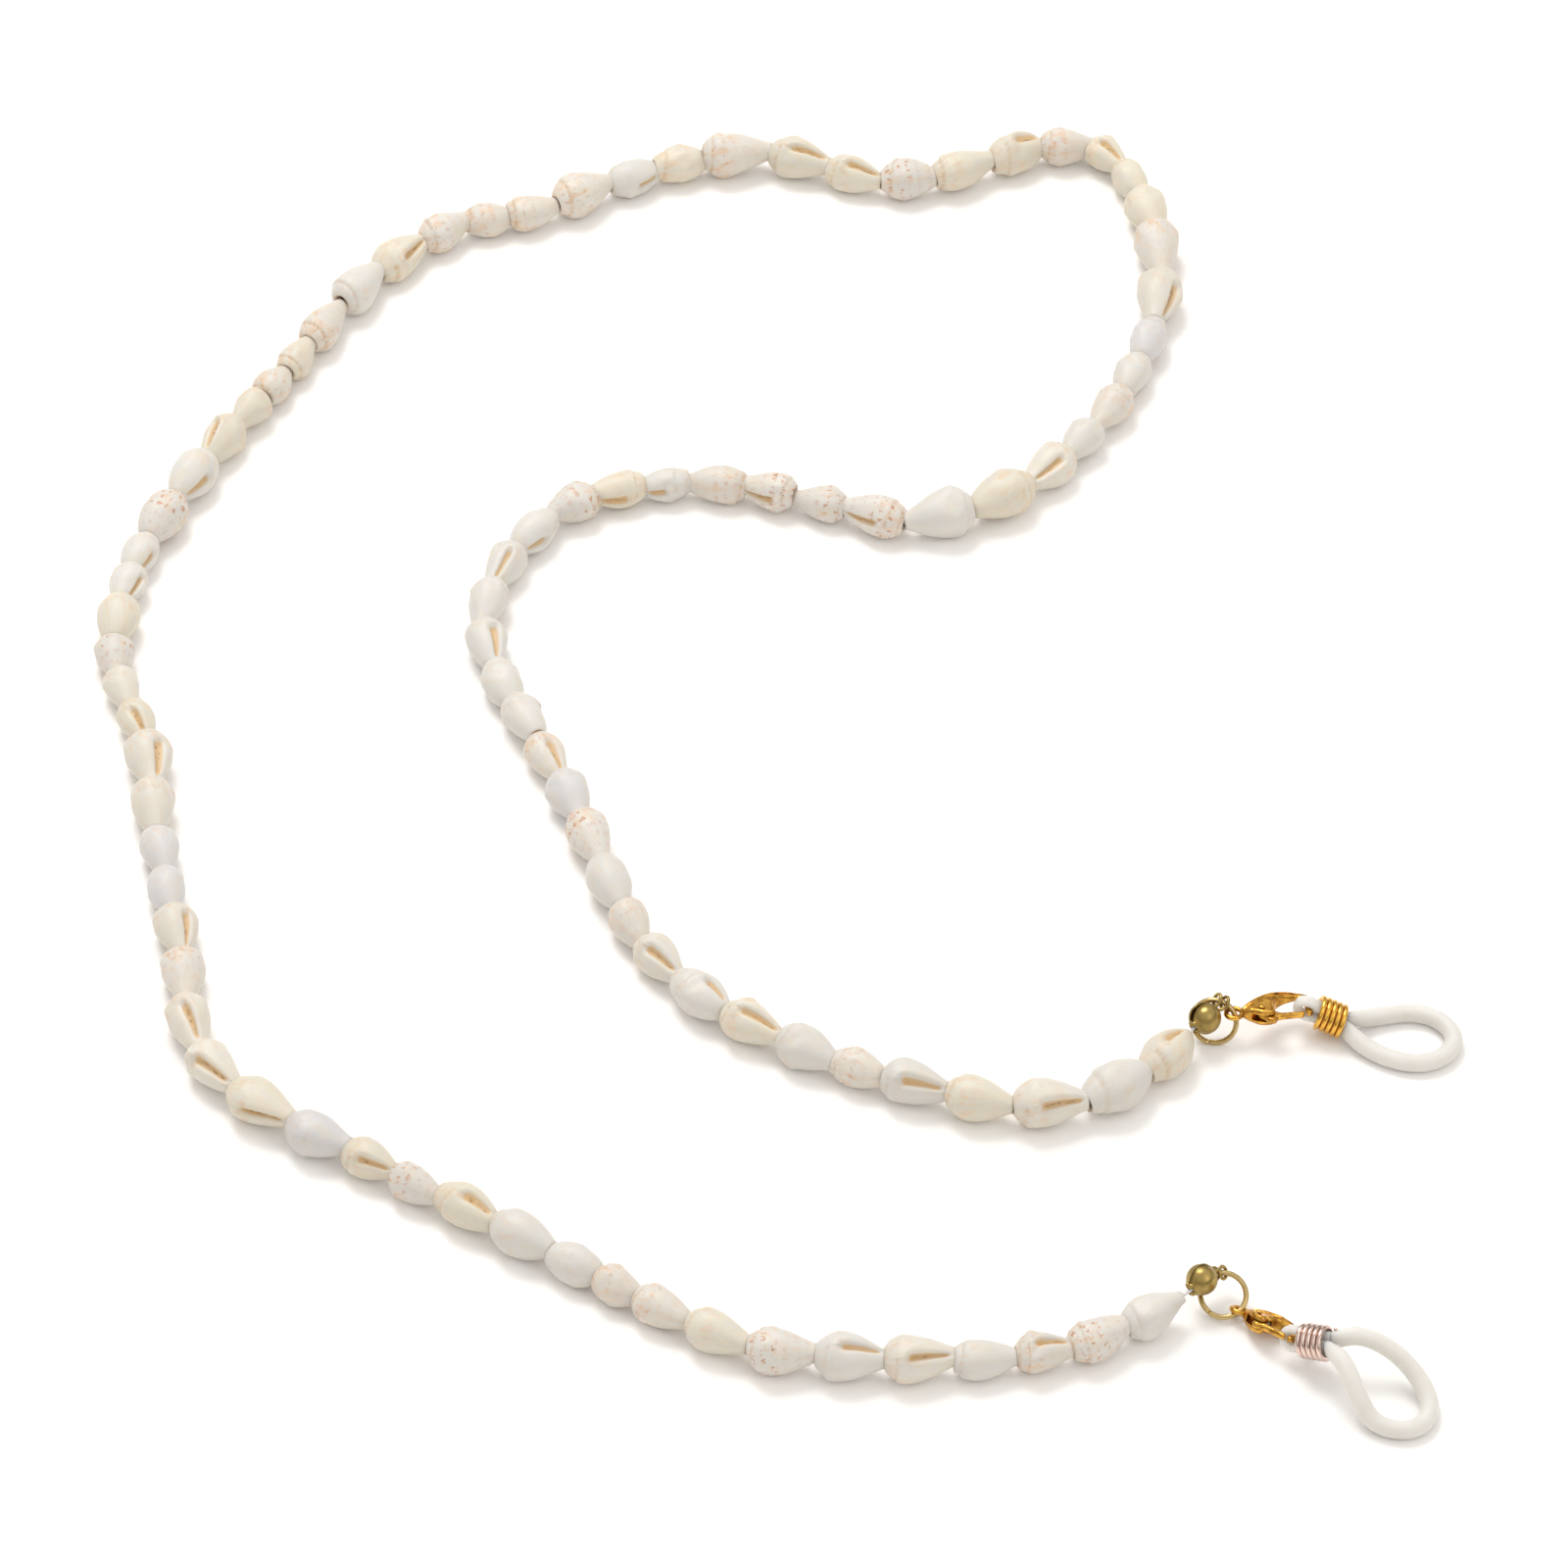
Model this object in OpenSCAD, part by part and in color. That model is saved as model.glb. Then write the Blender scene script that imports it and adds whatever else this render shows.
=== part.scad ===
// Eyeglass retainer strap: a strand of drilled sea shells on a thread. At each end a bead tip,
// a jump ring and a lobster clasp hold a silicone grip loop that a wire coil closes on a temple.
// Millimetres, +Z up. The strap lies on a table at z = 0, with the origin under its middle.

/* [Shell strand] */
// Diameter of the stringing thread
thread_d = 0.5; // [0.3:0.05:0.6]
// Height of the thread above the table
thread_z = 2.9; // [2.8:0.05:3.0]
// Radius of the hole drilled through both ends of a shell
shell_hole_r = 0.8; // [0.75:0.05:0.85]
// Thickness of a shell wall
shell_wall = 0.55; // [0.4:0.05:0.7]
// Smallest gap between two shells along the thread
shell_gap = 0.2; // [0.16:0.02:0.3]
// How far the strand bends at a joint between two of its stretches, in degrees
strand_bend = 22; // [10:1:24]

/* [Bead tip and jump ring] */
// Radius of the closed bead tip
ball_r = 1.85; // [1.75:0.05:1.9]
// Radius of the hole where the thread enters the bead tip
ball_hole_r = 0.6; // [0.5:0.05:0.7]
// Radius of the wire of the bead tip's two loops
tip_wire_r = 0.2; // [0.15:0.01:0.22]
// Radius of those loops to the middle of their wire
tip_loop_r = 0.72; // [0.7:0.01:0.8]
// Radius of the jump ring to the middle of its wire
ring_r = 2.8; // [2.7:0.05:2.85]
// Radius of the jump ring's wire
ring_wire_r = 0.31; // [0.25:0.01:0.32]

/* [Lobster clasp] */
// Thickness of the clasp's body
clasp_t = 2.3; // [2.1:0.1:2.4]
// Thickness of the clasp at the end of its hook
hook_t = 0.7; // [0.6:0.05:0.85]
// Radius of the eye to the middle of its wire
eye_r = 1.0; // [0.95:0.05:1.1]
// Radius of the eye's wire
eye_wire_r = 0.33; // [0.25:0.01:0.35]
// Width of the lever
lever_t = 0.8; // [0.6:0.05:0.8]
// Radius of the lever's pin
pin_r = 0.3; // [0.25:0.01:0.32]

/* [Grip loop] */
// Radius of the silicone cord in the large loop
silicone_r = 1.2; // [1.1:0.05:1.25]
// Radius of the silicone cord where the coil squeezes it
squeezed_r = 0.64; // [0.6:0.02:0.7]
// Radius of the coil to the middle of its wire
coil_r = 1.9; // [1.85:0.05:2.0]
// Radius of the coil's wire
coil_wire_r = 0.34; // [0.3:0.01:0.36]
// Number of turns in the coil
coil_turns = 5; // [4:1:5]
// Distance from one turn to the next
coil_pitch = 0.72; // [0.71:0.01:0.74]

/* [Hidden] */
// The middle of the strap in the layout below, which becomes the origin
middle = [-2.14, 5.02, 0];
// The route of the strand on the table, from end a to end b, as X and Y
route_points = [
    [49, -90.5], [39, -96], [31, -99], [14, -100], [0, -99], [-8, -96], [-20, -88],
    [-55, -65], [-67, -57], [-74, -47], [-76, -32], [-80, -12], [-82, 5], [-87, 20],
    [-85, 38], [-76, 58], [-66, 75], [-56, 92], [-44, 103], [-32, 106], [-20, 113],
    [-2, 117], [16, 111], [38, 119], [47, 113], [51, 93], [46, 72], [34, 54],
    [20, 45], [8, 48], [-10, 53], [-28, 49], [-38, 34], [-38, 20], [-28, -3],
    [-18, -30], [-4, -45], [22, -57], [38, -58], [51, -46.5]
];
route = [for (p = route_points) p - [middle[0], middle[1]]];
// The shells of each stretch of the strand, by size from a, the smallest, to e
strand_groups = [
    "dcb", "cdddd", "cabddb", "bdeddd", "cbbddb", "aacaad", "dcaaad", "ddbabd", "bbedc",
    "cdcbaa", "ceebbc", "bceedb", "bcabbc", "cccbcc", "cddbcd", "dcbdd", "eed"
];
// Radius of the drilled end of a shell, with room for shells that lie off the thread's middle
shell_end_r = 1.3;
// Where along its length a shell is widest, from its tip
widest = 0.66;
// Relative length and radius of the five sizes
size_length = [5.9, 6.8, 7.5, 8.3, 9.3];
size_radius = [2.5, 2.65, 2.8, 3.0, 3.25];
// The first shell whose tip points to end b
flip_shell = 35;
// Height of the thread at the two joints nearest each end
end_heights_a = [4.3, 3.3];
end_heights_b = [3.9, 3.1];

// Placement of the two ends, each [end a, end b]
ball_at = [[51, -88.6, 4.63] - middle, [52.8, -45, 4.35] - middle];
ring_at = [[53.7, -88.86, 2.1] - middle, [53.9, -44, 2.75] - middle];
ring_heading = [0, -15];
ring_lean = [25, 60];
tip_angle = [100, 80];
eye_angle = [-45, 33];
ring_cut = [-130, -95];
clasp_heading = [-44, 8];
clasp_pitch = [13, -1];
clasp_roll = [-34, -10];
hook_bar = [9.3, -0.2, 0];
loop_heading = [-28, -13];
coil_lift = [18, -19];
grip_twist = [56, 80];
bar_to_coil = 3.1;
// How far out the silicone cord stays in line with its coil, over what length it then comes down
// to the table, how many degrees its loop bends to the left on the way, and its relative length
straight_x = 4.4;
loop_fall = [9, 5];
loop_bend = [-44, 12];
loop_stretch = [1.06, 1];

// Half of the silicone cord's path: distance outward from the coil's middle, and sideways
grip_path = [
    [-4.5, 0], [-4.1, 1.1], [-3, 1.5], [-2.4, 1.05], [-1.8, 0.73], [0, 0.72], [1.9, 0.74],
    [2.8, 1.2], [4.4, 2.1], [7, 3.5], [9.8, 4.4], [12.3, 4.3], [14.4, 3.3], [15.7, 1.7],
    [16.1, 0]
];

group_count = len(strand_groups);

// A smooth curve through a list of points, with some steps between each two
function curve_point(a, b, c, d, t) = 0.5 * (2 * b + (c - a) * t
    + (2 * a - 5 * b + 4 * c - d) * t * t + (3 * b - a - 3 * c + d) * t * t * t);
function open_curve(p, steps) = [
    for (i = [0:len(p) - 2], k = [0:steps - 1])
        curve_point(p[max(i - 1, 0)], p[i], p[i + 1], p[min(i + 2, len(p) - 1)], k / steps),
    p[len(p) - 1]
];
function closed_curve(p, steps) = [
    for (i = [0:len(p) - 1], k = [0:steps - 1])
        let (n = len(p))
        curve_point(p[(i + n - 1) % n], p[i], p[(i + 1) % n], p[(i + 2) % n], k / steps)
];
// Running sums of a list
function sums(v) = [for (i = 0, s = 0; i <= len(v); s = s + (i < len(v) ? v[i] : 0), i = i + 1) s];

// The strand's route measured along its length
fine_route = open_curve(route, 10);
route_s = sums([for (i = [1:len(fine_route) - 1]) norm(fine_route[i] - fine_route[i - 1])]);
route_length = route_s[len(route_s) - 1];
route_x = [for (i = [0:len(route_s) - 1]) [route_s[i], fine_route[i][0]]];
route_y = [for (i = [0:len(route_s) - 1]) [route_s[i], fine_route[i][1]]];

// The shells' sizes, the first shell of each group, and the thread's joints between shells
sizes = [for (g = strand_groups, letter = g) ord(letter) - ord("a")];
shell_count = len(sizes);
group_start = sums([for (g = strand_groups) len(g)]);
joint_s = sums([for (k = sizes) size_length[k]]);
stretch = route_length / joint_s[shell_count];
function joint_z(j) = j < 2 ? end_heights_a[j]
    : j > shell_count - 2 ? end_heights_b[shell_count - j] : thread_z;
joints = [for (j = [0:shell_count]) let (s = joint_s[j] * stretch)
    [lookup(s, route_x), lookup(s, route_y), joint_z(j)]];
// Half the gap at a joint, wide enough for the angle there and for the strand's own bending
function angle_at(j) = j < 1 || j >= shell_count ? 0 : let (
    a = joints[j] - joints[j - 1], b = joints[j + 1] - joints[j])
    acos(a * b / (norm(a) * norm(b)));
function bends_at(j) = len([for (s = group_start) if (s == j) 1]) > 0;
function gap_at(j) = shell_gap / 2
    + shell_end_r * tan((angle_at(j) + (bends_at(j) ? strand_bend : 0)) / 2);

// A point and a direction on an end's jump ring, at an angle round it
function ring_frame(e, v) = let (h = ring_heading[e], l = ring_lean[e])
    [v[0] * cos(h) - v[1] * cos(l) * sin(h), v[0] * sin(h) + v[1] * cos(l) * cos(h), v[1] * sin(l)];
function ring_point(e, a) = ring_at[e] + ring_r * ring_frame(e, [cos(a), sin(a)]);
function ring_along(e, a) = ring_frame(e, [-sin(a), cos(a)]);
function heading_of(v) = atan2(v[1], v[0]);
function pitch_of(v) = atan2(v[2], norm([v[0], v[1]]));
function turned(v, roll, pitch, heading) = let (
    a = [v[0], v[1] * cos(roll) - v[2] * sin(roll), v[1] * sin(roll) + v[2] * cos(roll)],
    b = [a[0] * cos(pitch) - a[2] * sin(pitch), a[1], a[0] * sin(pitch) + a[2] * cos(pitch)])
    [b[0] * cos(heading) - b[1] * sin(heading), b[0] * sin(heading) + b[1] * cos(heading), b[2]];
function bar_at(e) = ring_point(e, eye_angle[e])
    + turned(hook_bar, clasp_roll[e], clasp_pitch[e], clasp_heading[e]);
function in_coil(e, v) = turned(v, 0, coil_lift[e], loop_heading[e]);
function coil_at(e) = bar_at(e) + bar_to_coil * in_coil(e, [1, 0, 0]);

// A tube through a list of points, each with its own radius; closed joins the last to the first
module tube(points, radii, sides, closed = false) {
    n = len(points);
    last = n - 1;
    function along(i) = let (
        a = points[closed ? (i + n - 1) % n : max(i - 1, 0)],
        b = points[closed ? (i + 1) % n : min(i + 1, last)]) (b - a) / norm(b - a);
    rings = [for (i = [0:last]) let (
        t = along(i),
        side = cross([0, 0, 1], t) / norm(cross([0, 0, 1], t)),
        up = cross(t, side))
        for (k = [0:sides - 1]) points[i]
            + radii[i] * (cos(360 * k / sides) * side + sin(360 * k / sides) * up)];
    walls = [for (i = [0:closed ? last : last - 1], k = [0:sides - 1]) let (
        j = (i + 1) % n, m = (k + 1) % sides)
        [i * sides + k, i * sides + m, j * sides + m, j * sides + k]];
    caps = closed ? [] : [
        [for (k = [0:sides - 1]) sides - 1 - k],
        [for (k = [0:sides - 1]) last * sides + k]];
    polyhedron(rings, [for (f = concat(walls, caps)) [for (k = [len(f) - 1:-1:0]) f[k]]],
        convexity = 10);
}

// A wire wound round the x axis
module coil(radius, wire_r, turns, pitch, steps, sides) {
    n = turns * steps;
    points = [for (i = [0:n]) let (a = 360 * i / steps)
        [radius * cos(a), radius * sin(a), pitch * turns * (i / n - 0.5)]];
    function out(i) = let (a = 360 * i / steps) [cos(a), sin(a), 0];
    function along(i) = let (a = 360 * i / steps, rise = pitch / (2 * PI * radius))
        [-sin(a), cos(a), rise] / sqrt(1 + rise * rise);
    rings = [for (i = [0:n], k = [0:sides - 1]) points[i]
        + wire_r * (cos(360 * k / sides) * out(i) + sin(360 * k / sides) * cross(along(i), out(i)))];
    walls = [for (i = [0:n - 1], k = [0:sides - 1]) let (m = (k + 1) % sides)
        [i * sides + k, (i + 1) * sides + k, (i + 1) * sides + m, i * sides + m]];
    caps = [[for (k = [0:sides - 1]) k], [for (k = [sides - 1:-1:0]) n * sides + k]];
    rotate([0, 90, 0]) polyhedron(rings, concat(walls, caps), convexity = 10);
}

// A straight rod between two points
module rod(p, q, r) {
    v = q - p;
    translate(p) rotate([0, 90 - pitch_of(v), heading_of(v)]) cylinder(r = r, h = norm(v), $fn = 24);
}

// A torus in the xy plane
module hoop(radius, wire_r, arc = 360) {
    rotate_extrude(angle = arc, $fn = 48) translate([radius, 0]) circle(r = wire_r, $fn = 24);
}

// One shell, hollow and drilled at both ends, with its narrow tip at x = low and its spire at high
module shell(low, high, r) {
    span = high - low;
    hole = shell_hole_r;
    rotate([0, 90, 0]) rotate_extrude($fn = 36) polygon([
        [hole, low], [1.05, low], [0.56 * r, low + 0.22 * span], [0.84 * r, low + 0.45 * span],
        [r, low + widest * span], [0.95 * r, low + 0.76 * span], [0.74 * r, low + 0.81 * span],
        [0.68 * r, low + 0.88 * span], [0.5 * r, low + 0.91 * span], [0.42 * r, high],
        [hole, high], [hole, high - 0.9], [r - shell_wall - 0.4, low + 0.74 * span],
        [r - shell_wall, low + widest * span], [0.84 * r - shell_wall, low + 0.45 * span],
        [hole, low + 0.25 * span]
    ]);
}

// A shell where it lies: strung between two joints of the thread, and resting on the table
module strung_shell(i) {
    to_b = i >= flip_shell;
    tip_joint = to_b ? i + 1 : i;
    spire_joint = to_b ? i : i + 1;
    tip = joints[tip_joint];
    v = joints[spire_joint] - tip;
    r = size_radius[sizes[i]];
    drop = max(-0.4, min(0.4, r - tip[2] - widest * (joints[spire_joint][2] - tip[2])));
    translate(tip + [0, 0, drop]) rotate([0, -pitch_of(v), heading_of(v)])
        shell(gap_at(tip_joint), norm(v) - gap_at(spire_joint), r);
}

module shell_group(g) {
    color("ivory") for (i = [group_start[g]:group_start[g + 1] - 1]) strung_shell(i);
}

// The thread, from the crimp bead of end a through every shell to that of end b
module stringing_thread() {
    points = concat([ball_at[0]], joints, [ball_at[1]]);
    color("whitesmoke") tube(points, [for (p = points) thread_d / 2], 8);
}

// A hollow ball with two small loops that the jump ring passes through
module bead_tip(e) {
    way_in = e == 0 ? joints[0] : joints[shell_count];
    contact = ring_point(e, tip_angle[e]);
    along = ring_along(e, tip_angle[e]);
    reach = ball_at[e] - contact;
    square_reach = reach - (reach * along) * along;
    foot = tip_loop_r * square_reach / norm(square_reach);
    color("darkkhaki") difference() {
        union() {
            translate(ball_at[e]) sphere(r = ball_r, $fn = 64);
            for (shift = [-0.42, 0.42]) {
                middle = contact + shift * along;
                translate(middle) rotate([0, 90 - pitch_of(along), heading_of(along)])
                    hoop(tip_loop_r, tip_wire_r);
                rod(ball_at[e], middle + foot, tip_wire_r);
            }
        }
        translate(ball_at[e]) sphere(r = ball_r - 0.35, $fn = 64);
        rod(ball_at[e], way_in, ball_hole_r);
    }
}

// The crushed bead on the thread's end inside the bead tip
module crimp_bead(e) {
    way_in = e == 0 ? joints[0] : joints[shell_count];
    v = way_in - ball_at[e];
    color("tan") translate(ball_at[e]) rotate([0, 90 - pitch_of(v), heading_of(v)])
        rotate_extrude($fn = 32) translate([0.35, -0.55]) square([0.5, 1.1]);
}

module jump_ring(e) {
    color("darkgoldenrod") translate(ring_at[e]) rotate([ring_lean[e], 0, ring_heading[e]])
        rotate([0, 0, ring_cut[e]]) hoop(ring_r, ring_wire_r, 355);
}

// Places a clasp's pieces: the eye is at the origin and the hook lies along x
module at_clasp(e) {
    translate(ring_point(e, eye_angle[e]))
        rotate([clasp_roll[e], -clasp_pitch[e], clasp_heading[e]]) children();
}

// The pivot of the clasp's lever, in the clasp's own frame
pivot = [3.4, -0.55];
module claw_outline() {
    polygon(closed_curve([
        [0.95, -0.42], [2, -0.95], [3.2, -1.6], [4.4, -1.75], [5, -1.3], [4.95, -0.3], [5.35, 0.9],
        [6.4, 1.62], [7.8, 1.78], [8.7, 1.6], [9, 1], [9, -0.4], [9, -1.3], [9.4, -1.6],
        [9.8, -1.3], [9.82, -0.2], [9.8, 1.2], [9.3, 2.2], [8.1, 2.65], [6.2, 2.6], [4.2, 2.1],
        [2.4, 1.2], [0.95, 0.42]
    ], 4));
}
module claw_side() {
    rotate([90, 0, 0]) translate([0, 0, -4]) linear_extrude(8) polygon([
        [0.8, -0.4], [2, -clasp_t / 2], [5, -clasp_t / 2], [8.4, -hook_t / 2], [10, -hook_t / 2],
        [10, hook_t / 2], [8.4, hook_t / 2], [5, clasp_t / 2], [2, clasp_t / 2], [0.8, 0.4]
    ]);
}
module clasp_body(e) {
    color("goldenrod") at_clasp(e) difference() {
        union() {
            hoop(eye_r, eye_wire_r);
            intersection() {
                translate([0, 0, -2]) linear_extrude(4) claw_outline();
                claw_side();
            }
        }
        translate([2.1, -2.2, -0.5]) cube([3.4, 2.45, 1]);
        translate([3.9, 0, -0.5]) cube([1, 0.75, 1]);
        translate([pivot[0], pivot[1], -2]) cylinder(r = pin_r, h = 4, $fn = 32);
    }
}

// The gate that closes the hook, with its thumb tab
module clasp_lever(e) {
    color("gold") at_clasp(e) translate([0, 0, -lever_t / 2]) difference() {
        linear_extrude(lever_t) union() {
            translate(pivot) circle(r = 0.62, $fn = 32);
            polygon([[3.4, -1.17], [4.1, -2.35], [4.9, -2.4], [5.2, -1.8], [8.3, -1.75], [8.7, -1.5],
                [8.65, -1.2], [5.6, -1.15], [4.6, -0.3], [3.6, 0.02]]);
        }
        translate([pivot[0], pivot[1], -1]) cylinder(r = pin_r + 0.06, h = 3, $fn = 32);
    }
}

// The rivet that the lever turns on
module clasp_pin(e) {
    reach = clasp_t / 2 + 0.02;
    color("goldenrod") at_clasp(e) translate(pivot) {
        translate([0, 0, -reach]) cylinder(r = pin_r - 0.01, h = 2 * reach, $fn = 32);
        for (side = [0, 1]) mirror([0, 0, side]) translate([0, 0, reach])
            cylinder(r = pin_r + 0.15, h = 0.18, $fn = 32);
    }
}

// The spring that holds the lever shut, in its pocket under the arm
module clasp_spring(e) {
    color("silver") at_clasp(e) translate([4.35, 0.24, 0]) rotate([0, 0, 90])
        coil(0.28, 0.07, 3, 0.2, 12, 8);
}

// The silicone cord: a small loop on the hook, squeezed legs in the coil, and the temple loop
function grip_r(x) = lookup(x, [[-5, squeezed_r], [2.1, squeezed_r], [3.2, 1.05],
    [4.4, silicone_r], [20, silicone_r]]);
function grip_point(e, p) = let (
    twist = lookup(p[0], [[-2.2, grip_twist[e]], [2.4, 0]]),
    held = coil_at(e) + in_coil(e, [min(p[0], straight_x), p[1] * cos(twist), p[1] * sin(twist)]),
    past = max(0, p[0] - straight_x),
    curved = grip_path[len(grip_path) - 1][0] - straight_x,
    turn = loop_bend[e] * past / curved,
    arc_r = curved * loop_stretch[e] * 180 / (PI * loop_bend[e]),
    moved = (arc_r - p[1]) * turned([sin(turn), 1 - cos(turn), 0], 0, 0, loop_heading[e]),
    f = min(1, past / loop_fall[e]),
    rise = tan(coil_lift[e]) * past * (1 - f) * (1 - f),
    drop = (silicone_r - held[2]) * f * f * (3 - 2 * f))
    held + moved + [0, 0, rise + drop];
module silicone_loop(e) {
    n = len(grip_path);
    both = concat(grip_path, [for (i = [n - 2:-1:1]) [grip_path[i][0], -grip_path[i][1]]]);
    line = closed_curve(both, 2);
    color("gainsboro")
        tube([for (p = line) grip_point(e, p)], [for (p = line) grip_r(p[0])], 10, closed = true);
}

module grip_coil(e) {
    color(e == 0 ? "rosybrown" : "goldenrod")
        translate(coil_at(e)) rotate([0, -coil_lift[e], loop_heading[e]])
            coil(coil_r, coil_wire_r, coil_turns, coil_pitch, 18, 8);
}

for (g = [0:group_count - 1]) shell_group(g);
stringing_thread();
bead_tip(0);  // bead_tip_a
bead_tip(1);  // bead_tip_b
crimp_bead(0);  // crimp_bead_a
crimp_bead(1);  // crimp_bead_b
jump_ring(0);  // jump_ring_a
jump_ring(1);  // jump_ring_b
clasp_body(0);  // clasp_body_a
clasp_body(1);  // clasp_body_b
clasp_lever(0);  // clasp_lever_a
clasp_lever(1);  // clasp_lever_b
clasp_pin(0);  // clasp_pin_a
clasp_pin(1);  // clasp_pin_b
clasp_spring(0);  // clasp_spring_a
clasp_spring(1);  // clasp_spring_b
silicone_loop(0);  // silicone_loop_a
silicone_loop(1);  // silicone_loop_b
grip_coil(0);  // grip_coil_a
grip_coil(1);  // grip_coil_b
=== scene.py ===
import math
import random

import bpy
import numpy as np
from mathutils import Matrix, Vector


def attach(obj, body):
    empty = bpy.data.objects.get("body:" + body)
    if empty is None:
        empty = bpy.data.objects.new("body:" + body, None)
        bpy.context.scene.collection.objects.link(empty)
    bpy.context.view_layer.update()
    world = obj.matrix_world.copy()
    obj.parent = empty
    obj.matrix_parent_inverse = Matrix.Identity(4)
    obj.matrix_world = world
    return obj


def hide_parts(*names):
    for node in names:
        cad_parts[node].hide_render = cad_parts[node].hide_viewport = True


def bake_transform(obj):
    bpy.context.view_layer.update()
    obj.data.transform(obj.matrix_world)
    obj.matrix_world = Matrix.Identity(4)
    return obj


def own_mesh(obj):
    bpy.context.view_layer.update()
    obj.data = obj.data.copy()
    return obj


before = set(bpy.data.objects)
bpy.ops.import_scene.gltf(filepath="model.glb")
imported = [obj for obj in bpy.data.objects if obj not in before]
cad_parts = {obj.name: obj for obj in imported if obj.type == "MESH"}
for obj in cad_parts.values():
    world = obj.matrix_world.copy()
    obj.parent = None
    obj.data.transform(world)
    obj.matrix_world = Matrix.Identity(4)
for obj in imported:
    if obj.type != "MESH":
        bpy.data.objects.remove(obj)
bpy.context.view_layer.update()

MM = 0.001
scene = bpy.context.scene
scene.view_settings.view_transform = "Standard"

# Camera: its angle above the floor and of view, what it looks at and from how far
CAMERA_RISE, CAMERA_ANGLE = math.radians(46), math.radians(9)
CAMERA_AIM, CAMERA_AWAY = Vector((0.00214, -0.00502, 0)), 1.281
view_from = Vector((0, -math.cos(CAMERA_RISE), math.sin(CAMERA_RISE)))
camera = bpy.data.objects.new("camera", bpy.data.cameras.new("camera"))
scene.collection.objects.link(camera)
camera.data.angle = CAMERA_ANGLE
camera.data.clip_start = 0.05
camera.location = CAMERA_AIM + CAMERA_AWAY * view_from
camera.rotation_euler = view_from.to_track_quat("Z", "Y").to_euler()
scene.camera = camera


# ---------------------------------------------------------------- curves and meshes, in millimetres
def unit(v):
    v = np.array(v, float)
    return v / np.linalg.norm(v)


def smooth_curve(points, steps, closed=False):
    """A curve through points, with steps to each stretch between two of them."""
    p = np.array(points, float)
    n = len(p)
    out = []
    for i in range(n if closed else n - 1):
        a, b, c, d = (p[(i + k) % n] if closed else p[min(max(i + k, 0), n - 1)]
                      for k in (-1, 0, 1, 2))
        for k in range(steps):
            t = k / steps
            out.append(0.5 * (2 * b + (c - a) * t + (2 * a - 5 * b + 4 * c - d) * t * t
                              + (3 * b - a - 3 * c + d) * t ** 3))
    if not closed:
        out.append(p[-1])
    return np.array(out)


def grid_faces(rows, cols):
    """Quads of a grid of rows x cols vertices whose columns close on themselves."""
    return [(i * cols + k, i * cols + (k + 1) % cols,
             (i + 1) * cols + (k + 1) % cols, (i + 1) * cols + k)
            for i in range(rows - 1) for k in range(cols)]


def end_faces(rows, cols):
    """The two faces that close the first and last rows of such a grid."""
    return [tuple(range(cols - 1, -1, -1)), tuple((rows - 1) * cols + k for k in range(cols))]


def wire(points, radii, sides, closed=False):
    """A round wire along points, with rounded ends where it is open."""
    p = np.array(points, float)
    r = np.broadcast_to(np.array(radii, float), len(p)).copy()
    if closed:
        along = np.roll(p, -1, 0) - np.roll(p, 1, 0)
    else:
        along = np.gradient(p, axis=0)
        a, b = unit(along[0]), unit(along[-1])
        p = np.vstack([p[0] - 0.55 * r[0] * a, p[0] - 0.4 * r[0] * a, p, p[-1] + 0.4 * r[-1] * b,
                       p[-1] + 0.55 * r[-1] * b])
        r = np.concatenate([[r[0] * 0.35, r[0] * 0.75], r, [r[-1] * 0.75, r[-1] * 0.35]])
        along = np.vstack([a, a, along, b, b])
    along /= np.linalg.norm(along, axis=1)[:, None]
    side = np.cross(along[0], [0.31, 0.17, 0.93])
    frames = []
    for t in along:
        side = side - (side @ t) * t
        side /= np.linalg.norm(side)
        frames.append((side, np.cross(t, side)))
    turn = 0.0
    if closed:
        s = frames[0][0] - (frames[0][0] @ along[-1]) * along[-1]
        turn = math.atan2(s @ frames[-1][1], s @ frames[-1][0])
    verts = []
    n = len(p)
    for i in range(n):
        for k in range(sides):
            a = 2 * math.pi * k / sides + turn * i / n
            verts.append(p[i] + r[i] * (math.cos(a) * frames[i][0] + math.sin(a) * frames[i][1]))
    faces = grid_faces(n, sides)
    if closed:
        faces += [((n - 1) * sides + k, (n - 1) * sides + (k + 1) % sides, (k + 1) % sides, k)
                  for k in range(sides)]
    else:
        faces += end_faces(n, sides)
    return np.array(verts), faces


def lathe(profile, sides, axis, centre):
    """A profile of (radius, height) turned round an axis through a centre, closed at both ends."""
    z = unit(axis)
    x = unit(np.cross([0.3, 0.9, 0.2], z))
    y = np.cross(z, x)
    verts = []
    for r, h in profile:
        for k in range(sides):
            a = 2 * math.pi * k / sides
            verts.append(np.array(centre) + h * z + r * (math.cos(a) * x + math.sin(a) * y))
    n = len(profile)
    return np.array(verts), grid_faces(n, sides) + end_faces(n, sides)


def join(*parts):
    """Several forms as one, each a pair of vertices and faces."""
    verts, faces, n = [], [], 0
    for v, f in parts:
        verts.append(v)
        faces += [tuple(i + n for i in face) for face in f]
        n += len(v)
    return np.vstack(verts), faces


def mesh_of(name, form):
    verts, faces = form
    mesh = bpy.data.meshes.new(name)
    mesh.from_pydata([tuple(v) for v in np.asarray(verts) * MM], [], faces)
    return mesh


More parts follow.
